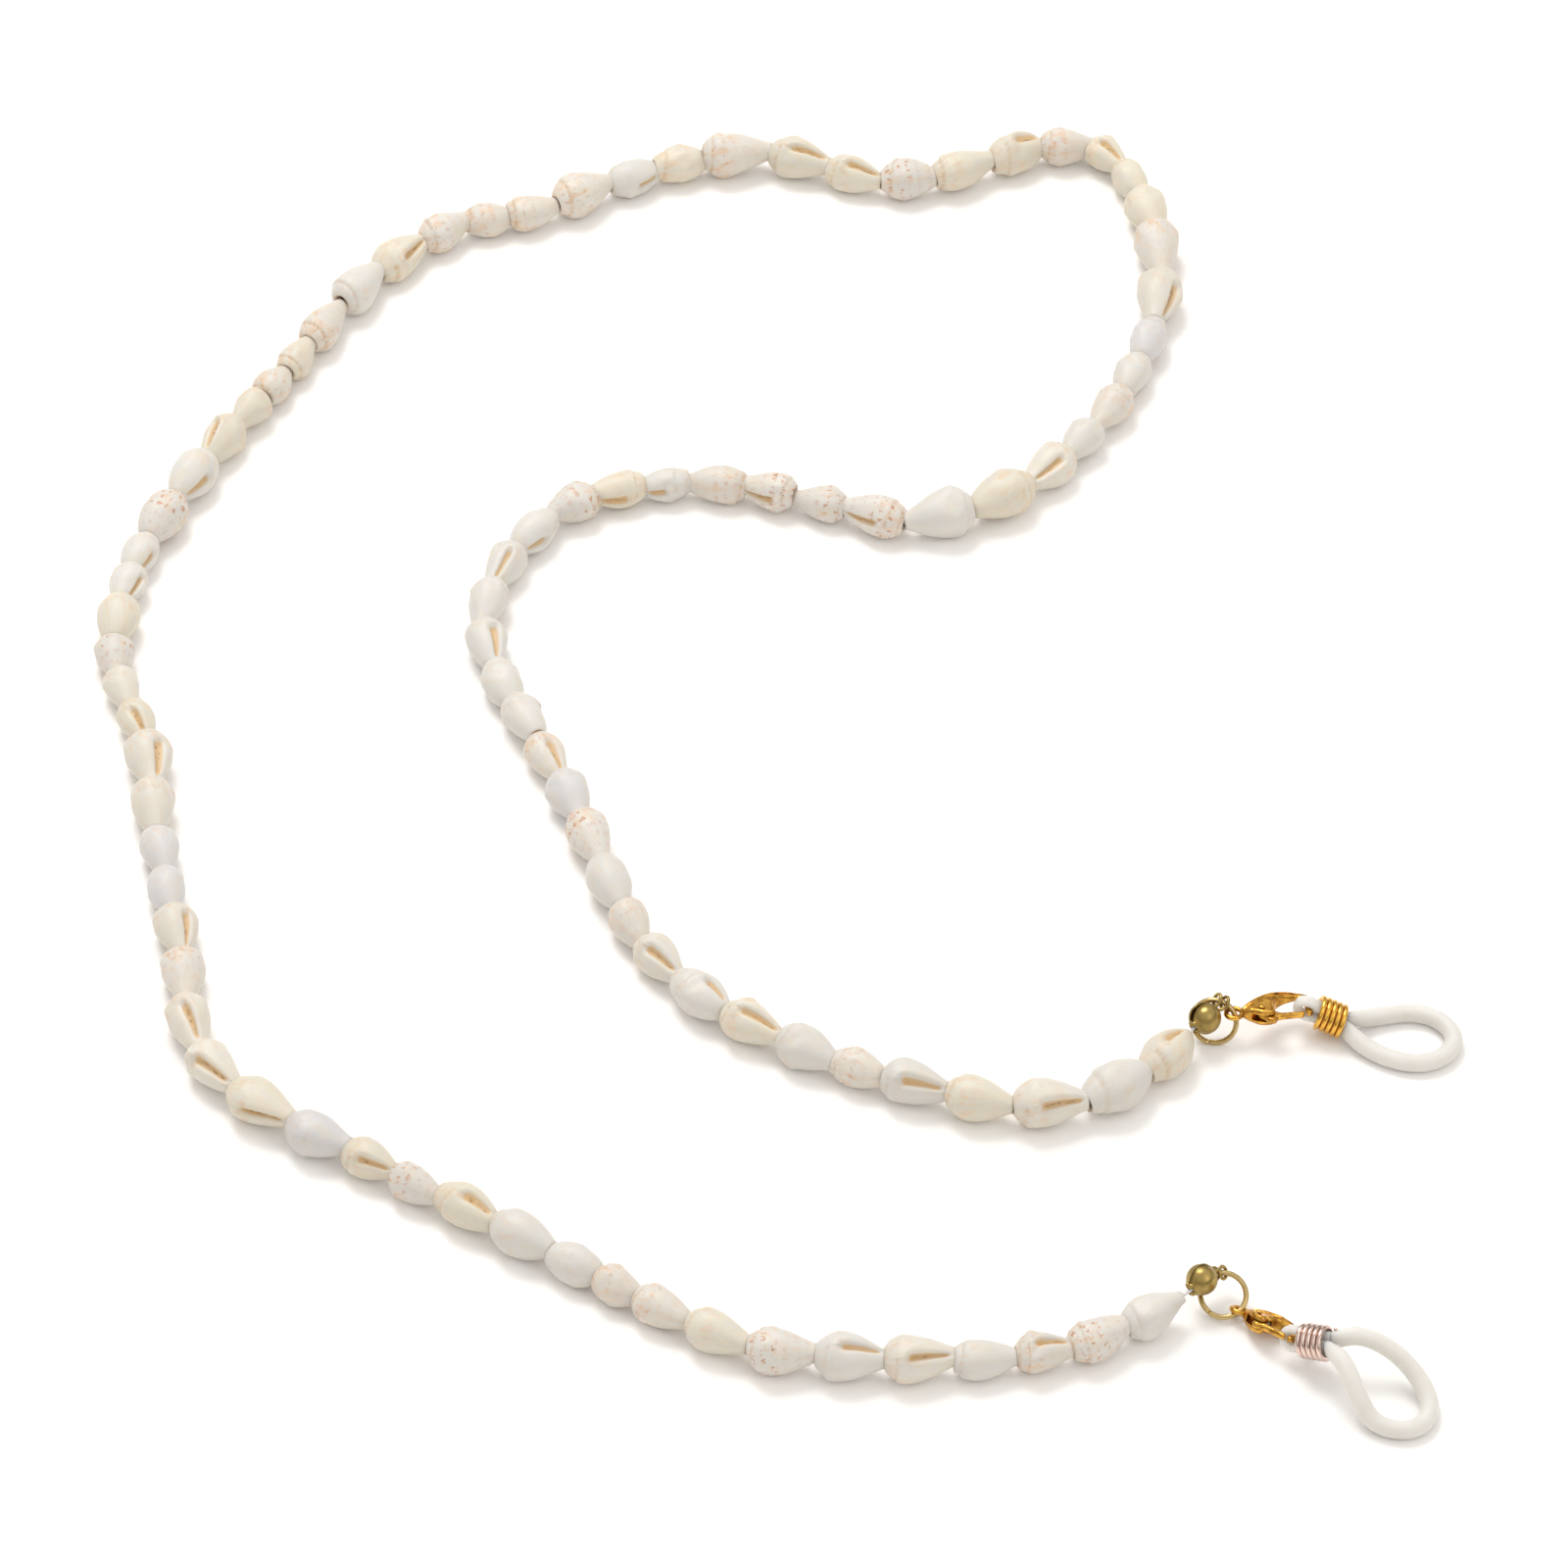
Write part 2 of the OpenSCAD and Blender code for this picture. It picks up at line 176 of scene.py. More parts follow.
def piece(name, form, material, replaced=(), body=None, paint=None):
    """A mesh object made from millimetres, with optional paint values at its vertices."""
    mesh = mesh_of(name, form)
    mesh.validate()
    mesh.update()
    for key, values in (paint or {}).items():
        kind = "FLOAT_COLOR" if values.shape[1] == 4 else "FLOAT_VECTOR"
        attribute = mesh.attributes.new(key, kind, "POINT")
        attribute.data.foreach_set("color" if kind == "FLOAT_COLOR" else "vector",
                                   values.astype(np.float32).ravel())
    obj = bpy.data.objects.new(name, mesh)
    scene.collection.objects.link(obj)
    mesh.shade_smooth()
    mesh.materials.append(material)
    if replaced:
        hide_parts(*replaced)
    if body:
        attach(obj, body)
    return obj


def soften_edges(obj, degrees):
    """Keeps an edge sharp where its faces meet at more than an angle."""
    obj.data.set_sharp_from_angle(angle=math.radians(degrees))


# ---------------------------------------------------------------- materials
# Colours of the shells and their markings
IVORY, PEARL_GREY, PEACH = (0.68, 0.59, 0.43), (0.61, 0.59, 0.575), (0.70, 0.47, 0.30)
TAN, RUST = (0.60, 0.38, 0.19), (0.50, 0.25, 0.13)
BEIGE, SLIT_BROWN = (0.64, 0.42, 0.19), (0.26, 0.12, 0.04)


class Finish:
    """A material whose nodes are made one call at a time."""
    def __init__(self, name, **shader):
        self.material = bpy.data.materials.new(name)
        self.material.use_nodes = True
        self.tree = self.material.node_tree
        self.shader = self.tree.nodes["Principled BSDF"]
        for key, value in shader.items():
            self.put(self.shader, key.replace("_", " "), value)

    def put(self, node, key, value):
        socket = node.inputs[key]
        if isinstance(value, bpy.types.NodeSocket):
            self.tree.links.new(value, socket)
        elif isinstance(value, tuple) and socket.type == "RGBA" and len(value) == 3:
            socket.default_value = (*value, 1)
        else:
            socket.default_value = value

    def node(self, kind, values=(), **settings):
        node = self.tree.nodes.new("ShaderNode" + kind)
        for key, value in settings.items():
            setattr(node, key, value)
        for key, value in dict(values).items():
            self.put(node, key, value)
        return node

    def attribute(self, name, output="Vector"):
        return self.node("Attribute", attribute_name=name).outputs[output]

    def split(self, vector):
        return self.node("SeparateXYZ", {"Vector": vector}).outputs

    def math(self, operation, *values, clamp=False):
        return self.node("Math", dict(enumerate(values)), operation=operation,
                         use_clamp=clamp).outputs[0]

    def times(self, a, b, clamp=False):
        return self.math("MULTIPLY", a, b, clamp=clamp)

    def plus(self, a, b):
        return self.math("ADD", a, b)

    def mix(self, factor, a, b, blend="MIX"):
        node = self.node("Mix", data_type="RGBA", blend_type=blend)
        self.put(node, 0, factor)
        self.put(node, 6, a)
        self.put(node, 7, b)
        return node.outputs[2]

    def ramp(self, value, low, high, to_low=0.0, to_high=1.0):
        """A value eased from one range to another."""
        return self.node("MapRange", {"Value": value, "From Min": low, "From Max": high,
                                      "To Min": to_low, "To Max": to_high},
                         interpolation_type="SMOOTHSTEP").outputs[0]

    def noise(self, vector, scale, detail=3.0, rough=0.55):
        return self.node("TexNoise", {"Vector": vector, "Scale": scale, "Detail": detail,
                                      "Roughness": rough}).outputs["Fac"]

    def here(self):
        return self.node("TexCoord").outputs["Object"]

    def scaled(self, vector, by):
        return self.node("VectorMath", {0: vector, 1: by}, operation="MULTIPLY").outputs[0]

    def bump(self, height, strength, distance=0.0002):
        made = self.node("Bump", {"Height": height, "Strength": strength, "Distance": distance})
        self.put(self.shader, "Normal", made.outputs[0])


def shell_finish():
    f = Finish("sea_shell", Roughness=0.44, IOR=1.5)
    f.put(f.shader, "Specular IOR Level", 0.4)
    f.put(f.shader, "Subsurface Weight", 0.15)
    f.put(f.shader, "Subsurface Radius", (1.0, 0.8, 0.55))
    f.put(f.shader, "Subsurface Scale", 0.0012)
    lay = f.attribute("lay")
    tone = f.attribute("tone", "Color")
    speckle, peach, slit = f.split(f.attribute("paint"))
    suture, shoulder, rim = f.split(f.attribute("zones"))
    # Soft clouds of ivory and grey over the whole shell
    cloud = f.noise(lay, 0.42, 3)
    colour = f.mix(f.ramp(cloud, 0.45, 0.75, 0, 0.42), tone, IVORY)
    veil = f.noise(f.scaled(lay, (0.6, 1.0, 1.0)), 0.7, 2)
    colour = f.mix(f.ramp(veil, 0.42, 0.78, 0, 0.5), colour, PEARL_GREY)
    # Peach blotches, thickest at the shoulder and between the whorls
    blotch = f.noise(f.scaled(lay, (0.8, 1.3, 1.0)), 0.75, 3, 0.6)
    warm = f.times(f.ramp(blotch, 0.47, 0.66), peach)
    warm = f.times(warm, f.ramp(shoulder, 0.0, 0.6, 0.35, 1.0))
    colour = f.mix(f.times(warm, 0.62, clamp=True), colour, PEACH)
    streak = f.noise(f.scaled(lay, (0.5, 2.0, 1.0)), 1.0, 2)
    seam = f.times(f.times(suture, peach), f.ramp(streak, 0.36, 0.62))
    colour = f.mix(f.times(seam, 0.8, clamp=True), colour, TAN)
    # Speckles in spiral rows
    lay_x, lay_y, _ = f.split(lay)
    row = f.math("SINE", f.plus(f.times(lay_x, 4.6), f.times(lay_y, 0.35)))
    blot = f.noise(f.scaled(lay, (1.0, 1.4, 1.0)), 1.2, 2, 0.55)
    spots = f.times(f.ramp(blot, 0.52, 0.62), f.ramp(row, -0.3, 0.5))
    spots = f.times(spots, speckle)
    spots = f.times(spots, f.ramp(shoulder, 0.0, 0.7, 0.3, 1.0))
    colour = f.mix(f.times(spots, 0.85, clamp=True), colour, RUST)
    # The slit: a beige floor with a darker stain in places
    floor = f.times(f.ramp(slit, 0.35, 0.8), f.ramp(streak, 0.25, 0.6, 0.65, 1.0))
    colour = f.mix(f.times(floor, 0.9), colour, BEIGE)
    stain = f.times(f.ramp(slit, 0.9, 1.0), f.ramp(blot, 0.5, 0.64))
    colour = f.mix(f.times(stain, 0.8), colour, SLIT_BROWN)
    colour = f.mix(f.times(rim, 0.4), colour, TAN)
    f.put(f.shader, "Base Color", colour)
    growth = f.noise(f.scaled(lay, (0.35, 4.0, 1.0)), 1.0, 2)
    cords = f.noise(f.scaled(lay, (4.0, 0.25, 1.0)), 0.9, 1)
    pits = f.noise(lay, 8.0, 3, 0.65)
    relief = f.plus(f.plus(f.times(growth, 0.5), f.times(cords, 0.3)),
                    f.times(pits, 0.2))
    f.bump(relief, 0.3, 0.0002)
    return f.material


def metal_finish(name, bright, dark, roughness, wear=0.5, grain=900.0, bump=0.25, scale=420.0):
    """A metal clouded by a darker tone, with a fine grain."""
    f = Finish(name, Metallic=1.0)
    here = f.here()
    cloud = f.noise(here, scale, 4, 0.6)
    fine = f.noise(here, grain, 3, 0.6)
    f.put(f.shader, "Base Color", f.mix(f.ramp(cloud, 0.38, 0.66, 0, wear), bright, dark))
    f.put(f.shader, "Roughness", f.ramp(fine, 0.3, 0.7, roughness * 0.8, roughness * 1.3))
    f.bump(f.plus(f.times(cloud, 0.6), f.times(fine, 0.5)), bump, 0.00006)
    return f.material


def silicone_finish():
    f = Finish("silicone", Roughness=0.48, IOR=1.41)
    f.put(f.shader, "Subsurface Weight", 0.85)
    f.put(f.shader, "Subsurface Radius", (1.0, 0.96, 0.9))
    f.put(f.shader, "Subsurface Scale", 0.0035)
    here = f.here()
    haze = f.noise(here, 260.0, 3)
    f.put(f.shader, "Base Color",
          f.mix(f.ramp(haze, 0.3, 0.75, 0, 0.5), (0.655, 0.635, 0.595), (0.59, 0.57, 0.53)))
    dust = f.noise(here, 5200.0, 3)
    f.bump(f.plus(f.times(dust, 0.5), haze), 0.12, 0.00008)
    return f.material


def thread_finish():
    f = Finish("thread", Roughness=0.8)
    f.put(f.shader, "Sheen Weight", 0.2)
    here = f.here()
    # Twist bands: the darker colour sits in the grooves that the bump makes, painted shade between
    # the plies
    twist = f.node("TexWave", {"Vector": here, "Scale": 900.0, "Distortion": 1.5, "Detail": 1.0},
                   bands_direction="DIAGONAL").outputs["Fac"]
    f.put(f.shader, "Base Color", f.mix(twist, (0.66, 0.64, 0.6), (0.86, 0.85, 0.82)))
    f.bump(twist, 0.6, 0.00006)
    return f.material


SHELL = shell_finish()
THREAD = thread_finish()
OLIVE_BRASS = metal_finish("olive_brass", (0.42, 0.30, 0.10), (0.22, 0.145, 0.045), 0.34)
RING_BRASS = metal_finish("ring_brass", (0.58, 0.43, 0.19), (0.34, 0.23, 0.09), 0.24)
GILT = metal_finish("gilt_casting", (0.76, 0.42, 0.075), (0.34, 0.145, 0.025), 0.25, 0.85,
                    1500.0, 0.9, 900.0)
SPRING = metal_finish("spring_steel", (0.55, 0.54, 0.52), (0.34, 0.33, 0.32), 0.3)
GOLD_WIRE = metal_finish("gold_wire", (0.80, 0.46, 0.085), (0.55, 0.27, 0.04), 0.16, 0.35,
                         700.0, 0.12)
ROSE_WIRE = metal_finish("rose_silver_wire", (0.74, 0.58, 0.51), (0.42, 0.27, 0.22), 0.17, 0.45,
                         700.0, 0.12)
SILICONE = silicone_finish()

# ---------------------------------------------------------------- the layout, as part.scad has it
# Millimetres and degrees; a pair of values is for end a, then end b
MIDDLE = np.array([-2.14, 5.02, 0])
ROUTE = np.array([
    [49, -90.5], [39, -96], [31, -99], [14, -100], [0, -99], [-8, -96], [-20, -88],
    [-55, -65], [-67, -57], [-74, -47], [-76, -32], [-80, -12], [-82, 5], [-87, 20],
    [-85, 38], [-76, 58], [-66, 75], [-56, 92], [-44, 103], [-32, 106], [-20, 113],
    [-2, 117], [16, 111], [38, 119], [47, 113], [51, 93], [46, 72], [34, 54],
    [20, 45], [8, 48], [-10, 53], [-28, 49], [-38, 34], [-38, 20], [-28, -3],
    [-18, -30], [-4, -45], [22, -57], [38, -58], [51, -46.5]
]) - MIDDLE[:2]
GROUPS = ["dcb", "cdddd", "cabddb", "bdeddd", "cbbddb", "aacaad", "dcaaad", "ddbabd", "bbedc",
          "cdcbaa", "ceebbc", "bceedb", "bcabbc", "cccbcc", "cddbcd", "dcbdd", "eed"]
SIZE_LENGTH = [5.9, 6.8, 7.5, 8.3, 9.3]
SIZE_RADIUS = [2.5, 2.65, 2.8, 3.0, 3.25]
FLIP_SHELL = 35
THREAD_Z, THREAD_R = 2.9, 0.25
BALL = [np.array(p) - MIDDLE for p in ([51, -88.6, 4.63], [52.8, -45, 4.35])]
RING = [np.array(p) - MIDDLE for p in ([53.7, -88.86, 2.1], [53.9, -44, 2.75])]
BALL_R, RING_R, RING_WIRE = 1.92, 2.8, 0.35
RING_HEADING, RING_LEAN, RING_CUT = [0, -15], [25, 60], [-130, -95]
TIP_ANGLE, EYE_ANGLE = [100, 80], [-45, 33]
CLASP_HEADING, CLASP_PITCH, CLASP_ROLL = [-44, 8], [13, -1], [-34, -10]
HOOK_BAR, BAR_TO_COIL = [9.3, -0.2, 0], 3.1
LOOP_HEADING, COIL_LIFT, GRIP_TWIST = [-28, -13], [18, -19], [56, 80]
STRAIGHT_X, LOOP_FALL, LOOP_BEND, LOOP_STRETCH = 4.4, [9, 5], [-44, 12], [1.06, 1]
SIDES = "ab"

fine_route = smooth_curve(ROUTE, 10)
route_s = np.concatenate([[0], np.cumsum(np.linalg.norm(np.diff(fine_route, axis=0), axis=1))])
sizes = [ord(letter) - ord("a") for group in GROUPS for letter in group]
COUNT = len(sizes)
first_of = np.concatenate([[0], np.cumsum([len(g) for g in GROUPS])])
joint_s = np.concatenate([[0], np.cumsum([SIZE_LENGTH[k] for k in sizes])])
joint_s *= route_s[-1] / joint_s[-1]
heights = np.full(COUNT + 1, THREAD_Z)
heights[:2] = 4.3, 3.3
heights[-2:] = 3.1, 3.9
knots = np.stack([np.interp(joint_s, route_s, fine_route[:, 0]),
                  np.interp(joint_s, route_s, fine_route[:, 1]), heights], 1)


def spun(v, degrees, axis):
    """v turned by an angle about the x, y or z axis, given as 0, 1 or 2."""
    c, s = math.cos(math.radians(degrees)), math.sin(math.radians(degrees))
    i, k = [(1, 2), (2, 0), (0, 1)][axis]
    out = np.array(v, float)
    out[i], out[k] = v[i] * c - v[k] * s, v[i] * s + v[k] * c
    return out


def ring_frame(e, v):
    return spun(spun(np.array(v, float), RING_LEAN[e], 0), RING_HEADING[e], 2)


def on_ring(e, degrees, radius=RING_R, off=0.0):
    a = math.radians(degrees)
    return RING[e] + ring_frame(e, [radius * math.cos(a), radius * math.sin(a), off])


def along_ring(e, degrees):
    a = math.radians(degrees)
    return ring_frame(e, [-math.sin(a), math.cos(a), 0])


def in_clasp(e, v):
    rolled = spun(np.array(v, float), CLASP_ROLL[e], 0)
    return spun(spun(rolled, -CLASP_PITCH[e], 1), CLASP_HEADING[e], 2)


def in_coil(e, v):
    return spun(spun(np.array(v, float), -COIL_LIFT[e], 1), LOOP_HEADING[e], 2)


# ---------------------------------------------------------------- shells
# The look of each shell from end a, two marks each: where its slit faces (f towards the viewer,
# u up the picture, l down, r right, k left, h hidden) and its colouring (w white, i ivory,
# p peach seams, s speckled, b bluish, o orange)
LOOKS = (
    "hw hs up hw fo uw hs hi hp hp hw hw ui hs fi hb li fo fo hp ro hb hb ho ro fi ho hs hi rw rw "
    "hs rw ki hi hp hi hp hw fi hp hp hp hp lw hi hp ui ui hs hi ui hp ui hi hi hp ro hb hw hp hw "
    "fo hi hw ls hs ls hp lw li hs lw fw hw rw hw hw rp hb hs hw hp fo uw ui hw hp fw hi fo hw ui"
).split()
# Three shapes, from a short spire to a long one: where the shoulder may be, how full the body is
# and how wide the slit
SHOULDER_AT = {"c": (0.63, 0.72), "n": (0.56, 0.66), "o": (0.48, 0.56)}
FULLNESS = {"c": 1.15, "n": 0.95, "o": 0.8}
SLIT_WIDTH = {"c": 0.95, "n": 1.15, "o": 1.0}
# Shares of a shell's radius
SLIT_DEPTH, LIP_HEIGHT, SEAM_DEPTH, SEAM_STEP, TURN_DROP = 0.27, 0.055, 0.055, 0.045, 0.07
# The rings of a drilled hole's cone: how far in each lies, and its share of the edge's radius
FUNNEL_RINGS = ((0.75, 0.36), (0.45, 0.5), (0.12, 0.7), (-0.03, 0.88))


def shell_form(length, radius, rng, kind, tip_r, apex_r):
    """One shell along x from its narrow end at 0 to its drilled apex, with its slit towards +z."""
    shoulder = rng.uniform(*SHOULDER_AT[kind])
    whorls = rng.uniform(1.3, 1.9)
    tip, apex = tip_r / radius, apex_r / radius
    fullness = FULLNESS[kind] * rng.uniform(0.9, 1.12)
    blunt = rng.uniform(0.72, 1.0)
    slant = rng.uniform(10, 26)
    knobs, knob_height = rng.choice([4, 5, 6, 7]), rng.uniform(0, 0.085)
    wide = rng.uniform(1.1, 1.6) * SLIT_WIDTH[kind]
    seed = rng.uniform(0, 60)
    flat_side = rng.uniform(0, 0.07)
    rows = np.concatenate([np.linspace(0.0, shoulder - 0.02, 17),
                           1 - (1 - shoulder) * np.linspace(1, 0, 17) ** 1.4])
    # The slit runs along angle 0, and the columns stand closest together there
    near = np.array([0, 4, 7, 10, 14, 19, 27])
    far = np.array([340, 345, 349, 352, 355, 357.5])
    angles = np.concatenate([near * wide, np.linspace(27 * wide + 11, 333, 22),
                             360 - (360 - far) * wide * 0.85])
    slit_at = np.concatenate([near * wide, [28 * wide, 334], 360 - (360 - far) * wide * 0.85])
    dip = np.interp(angles, slit_at,
                    [1, 0.99, 0.85, 0.5, 0.14, 0.03, 0, 0, 0, 0, 0.03, 0.3, 0.72, 0.95, 1])
    t, a = np.meshgrid(rows, angles, indexing="ij")
    dip = np.broadcast_to(dip, t.shape)
    phase = a / 360
    rise = np.clip((t - shoulder) / (1 - shoulder), 0, 1)
    fore = np.clip(t / shoulder, 0, 1)
    r = tip + (1 - tip) * np.sin(np.pi / 2 * fore) ** fullness
    r = np.where(t > shoulder, apex + (1 - apex) * (1 - rise ** 1.75) ** blunt, r)
    # The seam winds round the spire as a soft step
    p = (rise + 0.25) * whorls - phase
    part = p - np.floor(p)
    near_suture = np.minimum(part, 1 - part)
    on_spire = np.clip((t - shoulder + 0.05) / 0.12, 0, 1) * np.clip(p / 0.3, 0, 1)
    suture = np.exp(-(near_suture / 0.1) ** 2) * on_spire
    r = r * (1 - SEAM_DEPTH * suture + SEAM_STEP * (part - 0.5) * on_spire)
    # The body's last turn ends a little lower than it began
    body = (1 - np.clip((t - shoulder) / 0.12, 0, 1)) * np.clip(t / 0.25, 0, 1)
    r = r * (1 - TURN_DROP * (1 - phase) * body)
    opening = np.clip(t / 0.16, 0, 1) * np.clip((shoulder + 0.04 - t) / 0.16, 0, 1)
    opening = opening * opening * (3 - 2 * opening)
    r = r * (1 - SLIT_DEPTH * dip * opening) \
        + LIP_HEIGHT * np.exp(-((a - 336) / 11) ** 2) * opening
    r = r + knob_height * np.exp(-((t - shoulder) / 0.1) ** 2) \
        * np.cos(np.radians(a) * knobs) * (1 - opening * dip)
    rim_fade = np.clip(np.minimum(t, 1 - t) / 0.12, 0, 1)
    lumps = 0.045 * np.sin(np.radians(a) + seed + 2 * t) \
        + 0.028 * np.sin(2 * np.radians(a) + seed * 3) \
        + 0.014 * np.sin(3 * np.radians(a) + 9 * t + seed * 2)
    flattened = flat_side * np.clip(np.cos(np.radians(a) - seed), 0, 1) ** 3
    r = r * (1 + (lumps - flattened) * rim_fade)
    theta = np.radians(a + slant * (t - 0.45))
    grid = np.stack([length * t, radius * r * np.sin(theta), radius * r * np.cos(theta)], -1)

    def funnel(edge, way):
        """The drilled hole's cone: rings going in from an end's edge."""
        centre, rings = edge.mean(0), []
        for inward, shrink in FUNNEL_RINGS:
            ring = centre + (edge - centre) * shrink
            ring[:, 0] = edge[:, 0].mean() + way * inward
            rings.append(ring)
        return rings
    every = np.concatenate([funnel(grid[0], 1), grid, funnel(grid[-1], -1)[::-1]]).reshape(-1, 3)
    pad, n_cols = len(FUNNEL_RINGS), len(angles)
    n_rows = len(rows) + 2 * pad

    def padded(values, ends=0.0):
        """Values for every vertex: those of the grid, and one value on the funnels."""
        end = np.full((pad, n_cols), ends)
        return np.concatenate([end, values, end]).ravel()
    zones = np.stack([padded(suture),
                      padded(np.exp(-((t - shoulder) / 0.13) ** 2) + 0.6 * on_spire),
                      padded(np.zeros_like(t), 1.0)], 1)
    # Where each vertex lies on the unrolled shell, which the markings follow
    lay = np.stack([padded(t * length), padded(phase * 2 * np.pi * radius),
                    np.full(n_rows * n_cols, seed)], 1)
    lay[:pad * n_cols, 0] = -0.3
    lay[-pad * n_cols:, 0] = length
    return every, grid_faces(n_rows, n_cols), zones, lay, padded(dip * opening)


# Base tone, and how much speckle and peach, of each colouring
TONES = {"w": (0.655, 0.632, 0.585), "i": (0.67, 0.62, 0.505), "b": (0.61, 0.595, 0.585),
         "p": (0.67, 0.625, 0.555), "s": (0.66, 0.625, 0.57), "o": (0.67, 0.63, 0.55)}
SPECKLES = {"s": 1.0, "p": 0.4}
PEACHES = {"p": 1.0, "s": 0.8, "i": 0.7, "o": 0.6}
# Radius of a shell's two ends: they butt within a stretch, and the narrow one sits in the other's
# funnel where the strand bends
BUTT_TIP, BUTT_APEX, HINGE_TIP, HINGE_APEX, OUTER_TIP = 1.15, 1.38, 0.98, 1.33, 0.75
FIRST_SEED = 700


def placed_shell(i):
    """The form and paint of shell i where it lies."""
    rng = random.Random(FIRST_SEED + i)
    facing, colour = LOOKS[i]
    to_b = i >= FLIP_SHELL
    tip_j, spire_j = (i + 1, i) if to_b else (i, i + 1)
    tip, spire = knots[tip_j], knots[spire_j]
    d = unit(spire - tip)
    span = np.linalg.norm(spire - tip)
    hinges = set(first_of)
    tip_hinge, spire_hinge = tip_j in hinges, spire_j in hinges
    nested = 0 < tip_j < COUNT
    # How far inside its stretch of thread the shell begins and ends
    low = -0.22 if tip_hinge and nested else 0.4 if tip_hinge else -0.1
    high = 0.04 if spire_hinge else -0.1
    if i in (FLIP_SHELL - 1, FLIP_SHELL):
        high = 0.16
    radius = SIZE_RADIUS[sizes[i]] * rng.uniform(0.95, 1.07)
    kind = rng.choice("cccno")
    narrow = OUTER_TIP if not nested else HINGE_TIP if tip_hinge else BUTT_TIP
    verts, faces, zones, lay, slit = shell_form(
        span - low - high, radius, rng, kind, narrow * rng.uniform(0.95, 1.04),
        (HINGE_APEX if spire_hinge else BUTT_APEX) * rng.uniform(0.97, 1.05))
    # Shells sit a little askew on the thread, less where the strand bends
    askew = math.radians(rng.uniform(-5, 5) * (0.4 if tip_hinge or spire_hinge else 1))
    middle = (span - low - high) / 2
    off = verts[:, 0] - middle
    verts = np.stack([middle + off * math.cos(askew) - verts[:, 1] * math.sin(askew),
                      off * math.sin(askew) + verts[:, 1] * math.cos(askew), verts[:, 2]], 1)
    towards = np.array(view_from)
    towards = unit(towards - (towards @ d) * d)
    across = np.cross(towards, d)
    side_turn = rng.uniform(34, 52)
    roll = {"f": rng.uniform(-12, 12),
            "u": np.sign(across[1]) * side_turn, "l": -np.sign(across[1]) * side_turn,
            "r": np.sign(across[0]) * side_turn, "k": -np.sign(across[0]) * side_turn,
            "h": rng.uniform(110, 250)}[facing]
    c, s = math.cos(math.radians(roll)), math.sin(math.radians(roll))
    out_z = c * towards + s * across
    out_y = np.cross(out_z, d)
    verts = tip + low * d + np.outer(verts[:, 0], d) + np.outer(verts[:, 1], out_y) \
        + np.outer(verts[:, 2], out_z)
    # It rests on the floor where the thread lets it
    verts[:, 2] += min(0.45, max(-0.45, -verts[:, 2].min()))
    amount = SPECKLES.get(colour, 0.15 * rng.random())
    peach = PEACHES.get(colour, rng.uniform(0.1, 0.45))
    tone = np.array(TONES[colour]) * rng.uniform(0.96, 1.03)
    n = len(verts)
    slit_stain = slit * (1.0 if colour in "oips" else 0.88)
    paint = np.stack([np.full(n, amount), np.full(n, peach), slit_stain], 1)
    return verts, faces, paint, zones, lay, np.tile([*tone, 1.0], (n, 1))


for g in range(len(GROUPS)):
    made = [placed_shell(i) for i in range(first_of[g], first_of[g + 1])]
    form = join(*[(m[0], m[1]) for m in made])
    node = f"shells_{g + 1:02d}"
    piece("shells_of_" + node[-2:], form, SHELL, [node], f"strand_{g + 1:02d}",
          paint={key: np.vstack([m[k] for m in made])
                 for k, key in enumerate(("paint", "zones", "lay", "tone"), 2)})


def thread_piece(name, points):
    """A stretch of thread along points."""
    form = wire(smooth_curve(points, 4), THREAD_R, 8)
    obj = piece(name, form, THREAD, ["stringing_thread"])
    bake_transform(obj)


for k in range(1, len(GROUPS)):
    low = (first_of[k - 1] + first_of[k]) // 2
    high = (first_of[k] + first_of[k + 1]) // 2
    thread_piece(f"thread_{k:02d}", knots[low:high + 1])
middle_a = knots[:first_of[1] // 2 + 1]
thread_piece("thread_end_a", [BALL[0], *middle_a])
middle_b = knots[(first_of[-2] + first_of[-1]) // 2:]
thread_piece("thread_end_b", [*middle_b, BALL[1]])


# ---------------------------------------------------------------- bead tips
CUP_WALL, LOOP_R, LOOP_WIRE, LOOP_SHIFT = 0.24, 0.76, 0.23, 0.5
# Which way each tip's opening turns from the viewer, and how far its cups gape
OPEN_TO, GAPE = [np.array([1.6, -0.1, -0.1]), np.array([0.95, -0.35, 0.25])], [2.5, 9.0]
# A crushed bead's profile
CRIMP = [(0.28, -0.5), (0.6, -0.62), (0.84, -0.5), (0.9, 0), (0.84, 0.5), (0.6, 0.62), (0.28, 0.5)]


